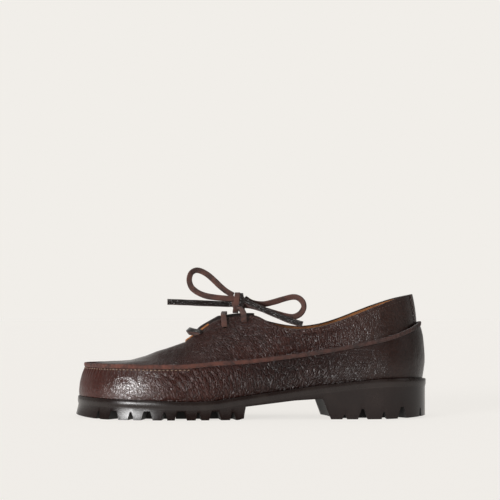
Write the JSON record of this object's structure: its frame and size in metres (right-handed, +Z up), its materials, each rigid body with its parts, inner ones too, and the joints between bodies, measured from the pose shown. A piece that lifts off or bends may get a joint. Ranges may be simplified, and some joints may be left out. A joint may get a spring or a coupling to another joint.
{
  "type": "laced camp moccasin shoe",
  "caption": "Low laced moccasin in grained leather with a raised seam round toe and sides, a thong tied in a bow and a lugged rubber sole with a heel.",
  "frame": {"origin": "on the floor, under the middle of the shoe's bounding box without its bow", "axes": "+Z up, -X towards the toe, +X towards the heel, -Y towards the outer side of the foot"},
  "size_m": [0.296, 0.1077, 0.1247],
  "materials": {
    "sole_rubber": "moulded, satin",
    "insole_leather": "smooth tan lining leather",
    "upper_leather": "tumbled grain, dark red-brown",
    "lace_leather": "flat thong, one grain face and suede edges"
  },
  "bodies": {
    "root": {"outsole": "sole_rubber", "insole": "insole_leather", "upper": "upper_leather", "tongue": "upper_leather", "lace_bar_front": "lace_leather", "lace_bar_middle": "lace_leather", "lace_leg_outer": "lace_leather", "lace_leg_inner": "lace_leather", "lace_knot": "lace_leather", "lace_loop_toe": "lace_leather", "lace_loop_heel": "lace_leather", "lace_end_toe": "lace_leather", "lace_end_heel": "lace_leather"}
  },
  "joints": []
}
